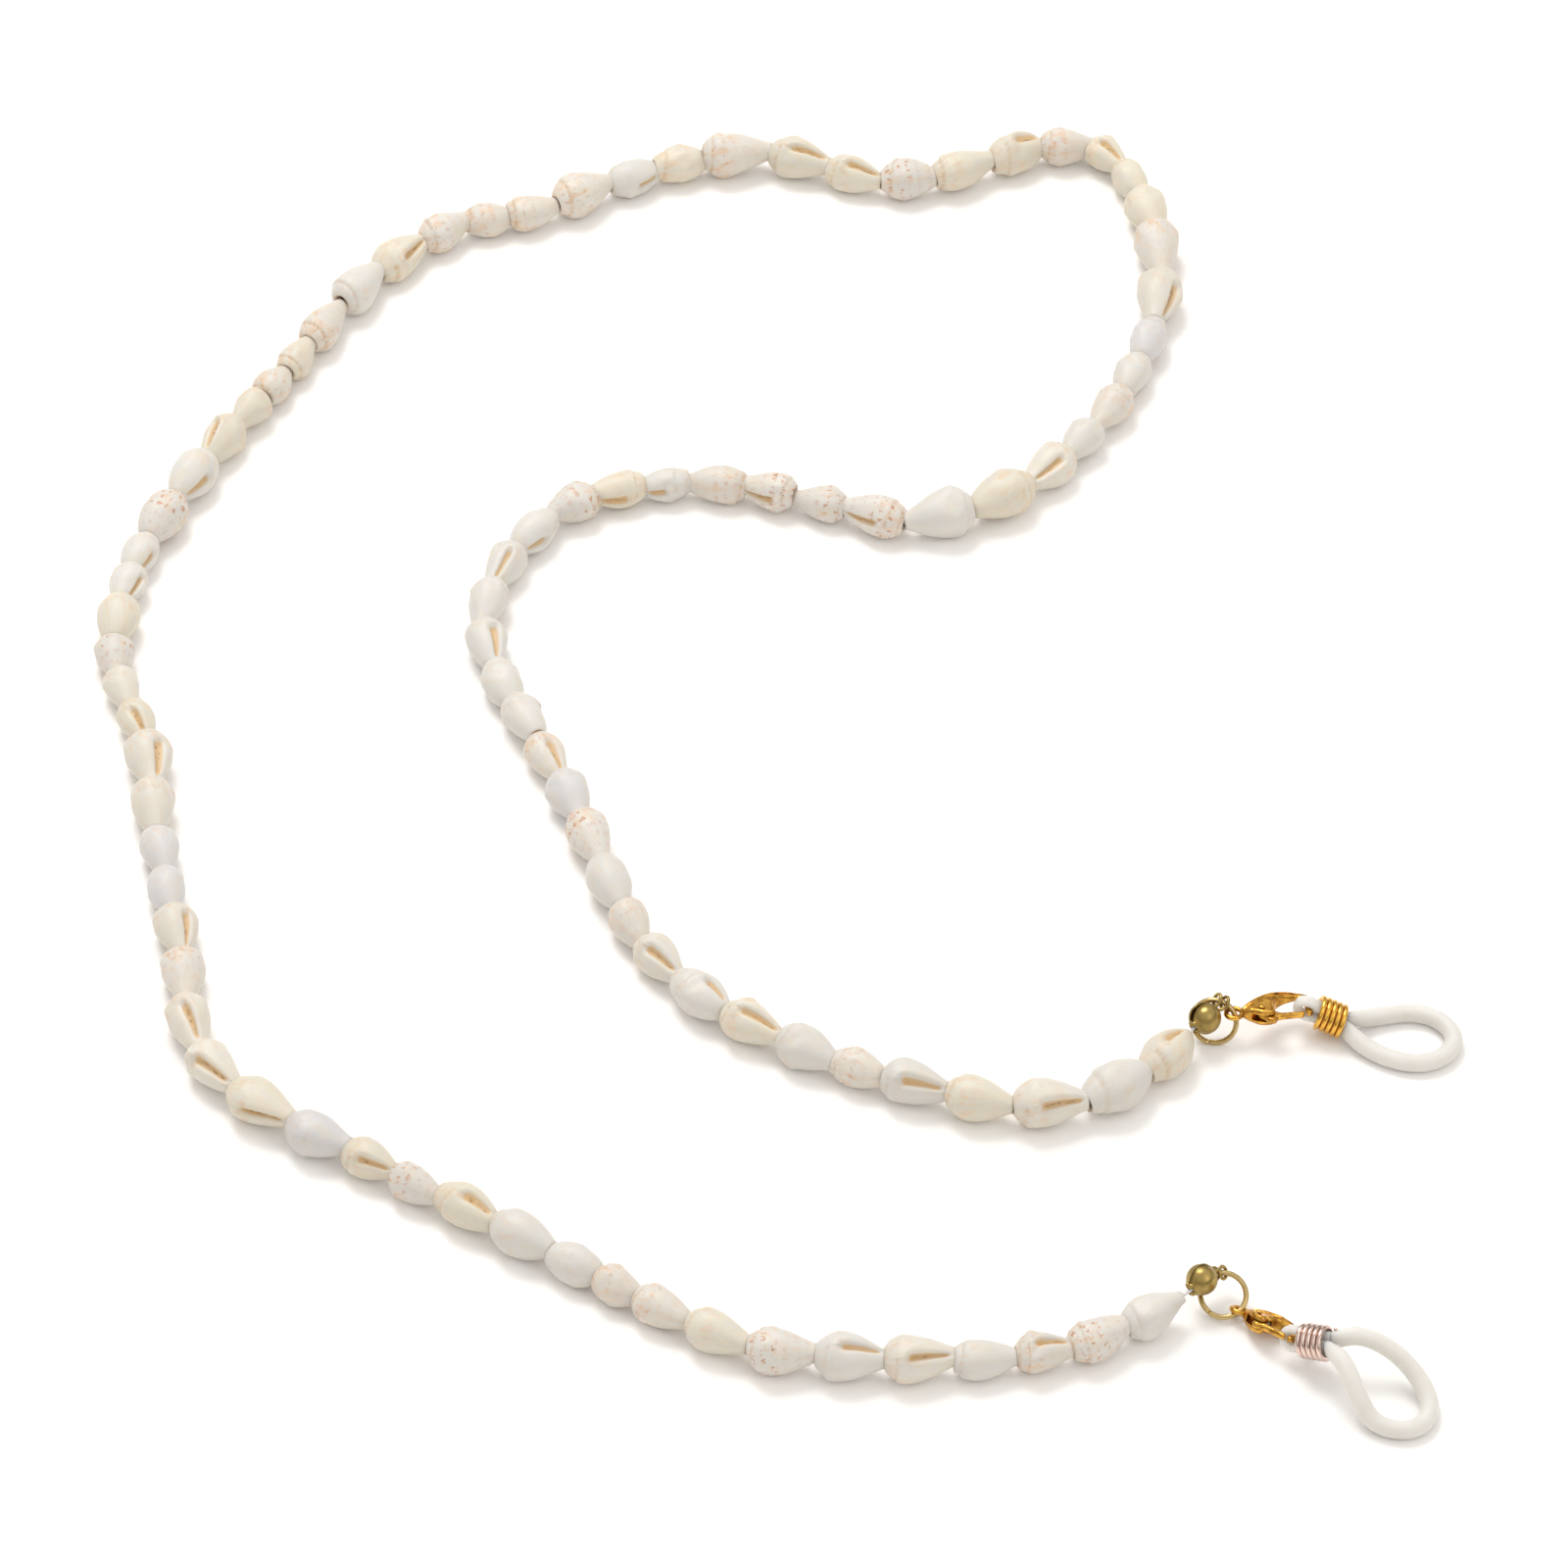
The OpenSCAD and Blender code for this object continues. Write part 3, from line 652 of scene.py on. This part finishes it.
def bead_cup(centre, normal, notch_dir, ajar_dir, tilt):
    """One hollow cup of a closed bead tip, its thick rim notched where the thread enters."""
    outer = [(BALL_R * math.sin(a), BALL_R * math.cos(a))
             for a in np.radians(np.linspace(2, 84, 15))]
    inner_r = BALL_R - CUP_WALL
    rim = [(BALL_R + 0.07, 0.2), (BALL_R + 0.09, 0.12), (BALL_R + 0.03, 0.04), (BALL_R - 0.2, 0.05),
           (inner_r, 0.12)]
    inner = [(inner_r * math.sin(a), inner_r * math.cos(a))
             for a in np.radians(np.linspace(82, 3, 8))]
    verts, faces = lathe(outer + rim + inner, 64, normal, [0, 0, 0])
    n, notch = unit(normal), unit(notch_dir)
    height = verts @ n
    flat = verts - np.outer(height, n)
    from_axis = np.maximum(np.linalg.norm(flat, axis=1), 1e-6)
    away = np.degrees(np.arccos(np.clip((flat @ notch) / from_axis, -1, 1)))
    low = np.clip(1 - height / 0.9, 0, 1)
    verts = verts + np.outer(0.62 * np.clip(1 - (away / 21) ** 2, 0, 1) * low, n)
    # The two cups stand a little ajar on one side
    verts = verts + np.outer((verts @ unit(ajar_dir) + BALL_R) * math.tan(math.radians(tilt)), n)
    return verts + np.array(centre), faces


def tail_and_loop(e, shift):
    """A wire that leaves the ball and curls round the jump ring's wire."""
    contact, along = on_ring(e, TIP_ANGLE[e]), along_ring(e, TIP_ANGLE[e])
    middle = contact + shift * along
    reach = BALL[e] - contact
    lean = np.array(view_from) - (np.array(view_from) @ along) * along
    axis = unit(along + 0.75 * (1 if e else -1) * unit(lean))
    foot = unit(reach - (reach @ axis) * axis)
    other = np.cross(axis, foot)
    root = BALL[e] - unit(reach) * (BALL_R - 0.2) + shift * 0.8 * along + 0.35 * other
    curl = [middle + LOOP_R * (math.cos(a) * foot + math.sin(a) * other)
            for a in np.radians(np.linspace(55, 385, 28))]
    return wire([root, 0.55 * root + 0.45 * (curl[0] + 0.3 * foot), *curl], LOOP_WIRE, 12)


for e, side in enumerate(SIDES):
    way_in = knots[0] if e == 0 else knots[-1]
    thread_dir = unit(way_in - BALL[e])
    facing = np.array(view_from) + OPEN_TO[e]
    normal = unit(facing - (facing @ thread_dir) * thread_dir)
    ajar = -thread_dir if e == 0 else np.array([-0.8, 0.45, 0.4])
    cups = join(bead_cup(BALL[e], normal, thread_dir, ajar, GAPE[e] / 2),
                bead_cup(BALL[e], -normal, thread_dir, ajar, GAPE[e]))
    across = np.cross(normal, thread_dir)
    tabs = []
    for way in (-1, 1):
        # Two folded tabs that pinch the thread at the hinge
        foot = BALL[e] + thread_dir * (BALL_R - 0.25) + way * 0.62 * across
        tabs.append(wire([foot - 0.5 * normal, foot + 0.3 * thread_dir - 0.25 * normal,
                          foot + 0.38 * thread_dir - 0.12 * way * across,
                          foot + 0.3 * thread_dir + 0.25 * normal, foot + 0.5 * normal],
                         [0.22, 0.32, 0.34, 0.32, 0.22], 10))
    loops = [tail_and_loop(e, shift) for shift in (-LOOP_SHIFT, LOOP_SHIFT)]
    tip = piece("bead_tip_shell_" + side, join(cups, *tabs, *loops), OLIVE_BRASS,
                ["bead_tip_" + side], "bead_tip_" + side)
    soften_edges(tip, 50)
    reach = unit(BALL[e] - way_in)
    piece("crushed_bead_" + side, lathe(CRIMP, 24, reach, BALL[e]), RING_BRASS,
          ["crimp_bead_" + side], "bead_tip_" + side)

    # The jump ring is wire bent round, its cut ends a little out of line
    turns = np.linspace(2.5, 357.5, 72)
    ring_path = [on_ring(e, RING_CUT[e] + t, RING_R, 0.13 * (t / 180 - 1)) for t in turns]
    piece("jump_ring_wire_" + side, wire(ring_path, RING_WIRE, 16), RING_BRASS,
          ["jump_ring_" + side], "ring_" + side)

# ---------------------------------------------------------------- lobster clasps
# Outlines in a clasp's own plane, from its eye at the origin towards its hook
CLAW = [[0.95, -0.42], [2, -0.95], [3.2, -1.6], [4.4, -1.75], [5, -1.3], [4.95, -0.3], [5.35, 0.9],
        [6.4, 1.62], [7.8, 1.78], [8.7, 1.6], [9, 1], [9, -0.4], [9, -1.3], [9.4, -1.6],
        [9.8, -1.3], [9.84, -0.2], [10.0, 1.2], [9.75, 2.0], [8.1, 2.65], [6.2, 2.6], [4.2, 2.1],
        [2.4, 1.2], [0.95, 0.42]]
LEVER = [[3.0, -1.05], [3.7, -1.75], [4.1, -2.3], [4.5, -2.48], [4.95, -2.4], [5.3, -1.95],
         [6.2, -1.82], [8.1, -1.78], [8.66, -1.6], [8.7, -1.25], [8.2, -1.2], [7.9, -1.3],
         [7.5, -1.16], [5.8, -1.1], [4.8, -0.4], [4.0, 0.0], [3.2, 0.02], [2.85, -0.5]]
PIVOT = (3.4, -0.55)
# Rounded edges: share of the half thickness, and how far in the outline is there
CASTING_EDGE = [(0.7, 0.0), (0.93, 0.1), (1, 0.28), (1, 0.4), (0.86, 0.5), (0.86, 0.62)]
CASTING_LAYERS = [(-share, inset) for share, inset in reversed(CASTING_EDGE)] \
    + [(0, -0.02)] + CASTING_EDGE
LEVER_EDGE = [(0.5, 0.0), (0.85, 0.06), (1, 0.2), (1, 0.3)]
LEVER_LAYERS = [(-share, inset) for share, inset in reversed(LEVER_EDGE)] + LEVER_EDGE
LEVER_HALF, RIVET_HOLE_R = 0.4, 0.36
RIVET_HEAD = [(0.02, 1.36), (0.2, 1.35), (0.36, 1.3), (0.44, 1.2), (0.44, 1.17), (0.29, 1.17)]
SPRING_X, SPRING_R, SPRING_TURNS, SPRING_PITCH, SPRING_WIRE = 4.35, 0.28, 3, 0.2, 0.07


def local_width(p, inward):
    """How wide a closed outline is at each of its points, measured inward."""
    q = np.roll(p, -1, 0)
    out = np.full(len(p), 9.0)
    for i, (a, n) in enumerate(zip(p, inward)):
        e = q - p
        det = n[0] * -e[:, 1] + n[1] * e[:, 0]
        det[np.abs(det) < 1e-9] = 1e-9
        w = p - a
        t = (w[:, 0] * -e[:, 1] + w[:, 1] * e[:, 0]) / det
        s = (n[0] * w[:, 1] - n[1] * w[:, 0]) / det
        good = t[(t > 0.05) & (s >= -1e-6) & (s <= 1 + 1e-6)]
        if len(good):
            out[i] = good.min()
    return out


def pillow(outline, steps, half_thick, layers):
    """A flat casting with rounded edges: layers are (share of the half thickness, inset)."""
    p = smooth_curve(outline, steps, closed=True)
    along = np.roll(p, -1, 0) - np.roll(p, 1, 0)
    along /= np.linalg.norm(along, axis=1)[:, None]
    area = np.sum(p[:, 0] * np.roll(p[:, 1], -1) - np.roll(p[:, 0], -1) * p[:, 1])
    inward = np.stack([-along[:, 1], along[:, 0]], 1) * np.sign(area)
    width = local_width(p, inward)
    verts = []
    for share, inset in layers:
        q = p + inward * np.minimum(inset, 0.36 * width)[:, None]
        z = share * half_thick(q[:, 0])
        verts.append(np.column_stack([q, z]))
    n = len(p)
    faces = grid_faces(len(layers), n)
    faces += [tuple(range(n - 1, -1, -1)), tuple((len(layers) - 1) * n + k for k in range(n))]
    return np.vstack(verts), faces


def carve(obj, cutter_form):
    """Cuts a shape out of a piece and discards the cutter."""
    cutter = bpy.data.objects.new("cutter", mesh_of("cutter", cutter_form))
    scene.collection.objects.link(cutter)
    cut = obj.modifiers.new("cut", "BOOLEAN")
    cut.operation, cut.solver, cut.object = "DIFFERENCE", "EXACT", cutter
    bpy.context.view_layer.update()
    made = bpy.data.meshes.new_from_object(obj.evaluated_get(bpy.context.evaluated_depsgraph_get()))
    obj.modifiers.remove(cut)
    obj.data = made
    bpy.data.objects.remove(cutter)


def block(low, high):
    """A box between two opposite corners."""
    x, y, z = zip(low, high)
    verts = [(x[i], y[j], z[k]) for i in (0, 1) for j in (0, 1) for k in (0, 1)]
    return verts, [(0, 1, 3, 2), (4, 6, 7, 5), (0, 4, 5, 1),
                   (2, 3, 7, 6), (0, 2, 6, 4), (1, 5, 7, 3)]


def clasp_half(x):
    """Half the casting's thickness along it: fat over the lever, thin at the eye and the hook."""
    return np.interp(x, [0.8, 1.3, 2, 3, 5, 6.5, 8.4, 10],
                     [0.4, 0.62, 1.0, 1.15, 1.12, 0.8, 0.37, 0.35])


for e, side in enumerate(SIDES):
    eye = on_ring(e, EYE_ANGLE[e])

    def placed(form):
        """A form in the clasp's own axes, moved to where the clasp lies."""
        return np.array([eye + in_clasp(e, v) for v in form[0]]), form[1]

    casting = piece("clasp_casting_" + side, placed(pillow(CLAW, 6, clasp_half, CASTING_LAYERS)),
                    GILT, ["clasp_body_" + side])
    # The slot that the lever turns in, and the pocket for its spring
    carve(casting, placed(block((2.1, -2.6, -0.5), (5.5, 0.25, 0.5))))
    carve(casting, placed(block((3.9, -0.1, -0.5), (4.9, 0.75, 0.5))))
    eye_ring = wire([(math.cos(a), math.sin(a), 0) for a in np.linspace(0, 2 * math.pi, 33)[:-1]],
                    0.33, 14, closed=True)
    neck = wire([(0.95, 0, 0), (1.3, 0, 0), (1.7, 0.05, 0)], [0.36, 0.5, 0.62], 14)
    eye_part = piece("clasp_eye_" + side, placed(join(eye_ring, neck)), GILT)
    soften_edges(casting, 48)
    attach(casting, "clasp_" + side)
    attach(eye_part, "clasp_" + side)

    lever = pillow(LEVER, 5, lambda x: np.full(len(x), LEVER_HALF), LEVER_LAYERS)
    gate = piece("clasp_gate_" + side, placed(lever), GILT, ["clasp_lever_" + side])
    hole = lathe([(RIVET_HOLE_R, -1), (RIVET_HOLE_R, 1)], 24, (0, 0, 1), (*PIVOT, 0))
    carve(gate, placed(hole))
    soften_edges(gate, 48)
    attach(gate, "lever_" + side)

    far_head = [(r, -h) for r, h in reversed(RIVET_HEAD)]
    rivet = lathe(RIVET_HEAD + far_head, 24, (0, 0, 1), (*PIVOT, 0))
    piece("clasp_rivet_" + side, placed(rivet), GILT, ["clasp_pin_" + side],
          "clasp_" + side)
    turns = np.linspace(0, SPRING_TURNS * 2 * math.pi, 60)
    spring = [(SPRING_X + SPRING_R * math.cos(a),
               0.24 + SPRING_PITCH * (a / (2 * math.pi) - SPRING_TURNS / 2),
               SPRING_R * math.sin(a)) for a in turns]
    spring_piece = piece("clasp_spring_wire_" + side, placed(wire(spring, SPRING_WIRE, 8)), SPRING,
                         ["clasp_spring_" + side], "clasp_" + side)
    tuple(in_clasp(e, [0, 1, 0]))
    tuple((eye + in_clasp(e, [SPRING_X, 0.6, 0])) * MM)
    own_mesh(spring_piece)

# ---------------------------------------------------------------- silicone loops and coils
# Half of the silicone's path, from inside the hook through the coil to the far end of the loop
GRIP_PATH = [[-4.4, 0], [-4.1, 0.8], [-3.1, 1.12], [-2.4, 0.98], [-1.8, 0.73], [0, 0.72],
             [1.9, 0.74], [2.8, 1.2], [4.4, 2.1], [7, 3.5], [9.8, 4.4], [12.3, 4.3],
             [14.4, 3.3], [15.7, 1.7], [16.1, 0]]
SILICONE_R, COIL_R, COIL_WIRE, COIL_TURNS, COIL_PITCH = 1.2, 1.9, 0.34, 5, 0.72
COIL_START = [35, -60]
LEGS_FROM, SILICONE_SIDES, EVENING_PASSES = 1.9, 24, 50
# Half widths of the silicone, broad and narrow: pressed flat in the coil, round outside it
WIDE_AT = [[-5, 0.85], [-2.6, 0.9], [-1.6, 1.22], [2.0, 1.22], [2.9, 1.16], [4.4, 1.16]]
THIN_AT = [[-5, 0.58], [-2.6, 0.6], [-1.6, 0.70], [2.0, 0.70], [3.1, 1.0], [4.2, 1.16]]

for e, side in enumerate(SIDES):
    eye = on_ring(e, EYE_ANGLE[e])
    out, left, up = (in_coil(e, axis) for axis in ([1, 0, 0], [0, 1, 0], [0, 0, 1]))
    coil_mid = eye + in_clasp(e, HOOK_BAR) + BAR_TO_COIL * out
    both = GRIP_PATH + [[x, -y] for x, y in GRIP_PATH[-2:0:-1]]
    line = smooth_curve(both, 7, closed=True)
    twist = np.radians(np.interp(line[:, 0], [-2.2, 2.4], [GRIP_TWIST[e], 0]))
    held = coil_mid + np.outer(np.minimum(line[:, 0], STRAIGHT_X), out) \
        + np.outer(line[:, 1] * np.cos(twist), left) + np.outer(line[:, 1] * np.sin(twist), up)
    # Past the coil the loop bends aside in an arc and settles on the floor
    past = np.maximum(0, line[:, 0] - STRAIGHT_X)
    curved = GRIP_PATH[-1][0] - STRAIGHT_X
    bend = np.radians(LOOP_BEND[e]) * past / curved
    arc_r = curved * LOOP_STRETCH[e] / math.radians(LOOP_BEND[e])
    flat_out, flat_left = spun([1, 0, 0], LOOP_HEADING[e], 2), spun([0, 1, 0], LOOP_HEADING[e], 2)
    moved = (arc_r - line[:, 1])[:, None] \
        * (np.outer(np.sin(bend), flat_out) + np.outer(1 - np.cos(bend), flat_left))
    fallen = np.minimum(1, past / LOOP_FALL[e])
    path = held + moved
    # The bight hangs towards the tip of the hook
    path -= np.outer(0.15 * np.clip((-1.6 - line[:, 0]) / 1.2, 0, 1), in_clasp(e, [0, 1, 0]))
    path[:, 2] += math.tan(math.radians(COIL_LIFT[e])) * past * (1 - fallen) ** 2 \
        + (SILICONE_R - held[:, 2]) * fallen ** 2 * (3 - 2 * fallen)
    # Silicone takes no sharp bends: the free part of the loop is evened out the most
    loose = 0.5 * np.clip((line[:, 0] - 3.8) / 3, 0.08, 1)[:, None]
    for _ in range(EVENING_PASSES):
        path = (1 - loose) * path + loose * 0.5 * (np.roll(path, 1, 0) + np.roll(path, -1, 0))
    verts, _ = wire(path, np.ones(len(path)), SILICONE_SIDES, closed=True)
    broad = np.outer(-np.sin(twist), left) + np.outer(np.cos(twist), up)
    wide, thin = np.interp(line[:, 0], *zip(*WIDE_AT)), np.interp(line[:, 0], *zip(*THIN_AT))
    off = verts.reshape(len(path), SILICONE_SIDES, 3) - path[:, None, :]
    in_broad = np.einsum("ijk,ik->ij", off, broad)[..., None] * broad[:, None, :]
    rings = path[:, None, :] + thin[:, None, None] * off + (wide - thin)[:, None, None] * in_broad
    # Two lengths meet inside the coil: the bight, and the legs that a sliding coil draws together
    outside = np.flatnonzero(line[:, 0] >= LEGS_FROM)
    held_rows = [*range(outside[-1], len(path)), *range(outside[0] + 1)]
    for name, rows in (("silicone_bight_", held_rows), ("silicone_cord_", list(outside))):
        faces = grid_faces(len(rows), SILICONE_SIDES) + end_faces(len(rows), SILICONE_SIDES)
        length = piece(name + side, (rings[rows].reshape(-1, 3), faces), SILICONE,
                       ["silicone_loop_" + side], "loop_" + side)
        if name == "silicone_bight_":
            to_arm = in_clasp(e, [0, 1, 0])
            to_arm = unit(to_arm - (to_arm @ out) * out)
            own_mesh(length)
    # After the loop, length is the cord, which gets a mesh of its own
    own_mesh(length)

    angles = np.radians(np.arange(0, 360 * COIL_TURNS + 1, 9))
    share = angles / angles[-1]
    radius = COIL_R + 0.03 * np.sin(angles * 0.9 + e)
    radius = radius - 0.25 * np.clip(1 - share * 30, 0, 1)
    along = COIL_PITCH * COIL_TURNS * (share - 0.5)
    if e == 0:
        # The last part of the wire stands off as a free end
        along = along + 0.35 * np.clip((share - 0.95) / 0.05, 0, 1) ** 1.5
    wire_r = COIL_WIRE * np.where(share > 0.985, 0.7, 1.0)
    phase = angles + math.radians(COIL_START[e])
    wound = coil_mid + np.outer(along, out) + np.outer(radius * np.cos(phase), left) \
        + np.outer(radius * np.sin(phase), up)
    piece("coil_wire_" + side, wire(wound, wire_r, 12), ROSE_WIRE if e == 0 else GOLD_WIRE,
          ["grip_coil_" + side], "coil_" + side)

# ---------------------------------------------------------------- floor and studio light
FLOOR_HALF = 3
floor_mesh = bpy.data.meshes.new("floor")
corners = [(x * FLOOR_HALF, y * FLOOR_HALF, 0) for x, y in ((-1, -1), (1, -1), (1, 1), (-1, 1))]
floor_mesh.from_pydata(corners, [], [(0, 1, 2, 3)])
floor = bpy.data.objects.new("floor", floor_mesh)
scene.collection.objects.link(floor)
paper = Finish("white_floor", Roughness=0.9)
paper.put(paper.shader, "Base Color", (0.98, 0.965, 0.945))
floor_mesh.materials.append(paper.material)

# The room is pale at the horizon, dim above it for the metal to mirror, and bright overhead: its
# stops are heights and colours
ROOM_STRENGTH = 0.95
HORIZON, OVERHEAD = (0.12, (1.0, 0.985, 0.97, 1)), (0.55, (1.0, 0.99, 0.98, 1))
DIM = (0.18, (0.10, 0.085, 0.07, 1))
world = bpy.data.worlds.new("studio")
scene.world = world
world.use_nodes = True
background = world.node_tree.nodes["Background"]
background.inputs["Strength"].default_value = ROOM_STRENGTH
sky = world.node_tree.nodes.new("ShaderNodeTexCoord")
height = world.node_tree.nodes.new("ShaderNodeSeparateXYZ")
fade = world.node_tree.nodes.new("ShaderNodeValToRGB")
stops = fade.color_ramp.elements
stops[0].position, stops[0].color = HORIZON
stops[1].position, stops[1].color = OVERHEAD
stops.new(DIM[0]).color = DIM[1]
world.node_tree.links.new(sky.outputs["Generated"], height.inputs["Vector"])
world.node_tree.links.new(height.outputs["Z"], fade.inputs["Fac"])
world.node_tree.links.new(fade.outputs["Color"], background.inputs["Color"])


def softbox(name, place, size, watts, colour=(1, 1, 1)):
    """A square area light that faces the origin."""
    light = bpy.data.lights.new(name, "AREA")
    light.shape, light.size, light.energy, light.color = "SQUARE", size, watts, colour
    obj = bpy.data.objects.new(name, light)
    scene.collection.objects.link(obj)
    obj.location = place
    obj.rotation_euler = Vector(place).to_track_quat("Z", "Y").to_euler()


softbox("key", (-0.25, 0.55, 1.05), 0.55, 7.5)
softbox("fill", (0.7, -0.6, 0.9), 0.7, 1.8, (1, 0.97, 0.93))
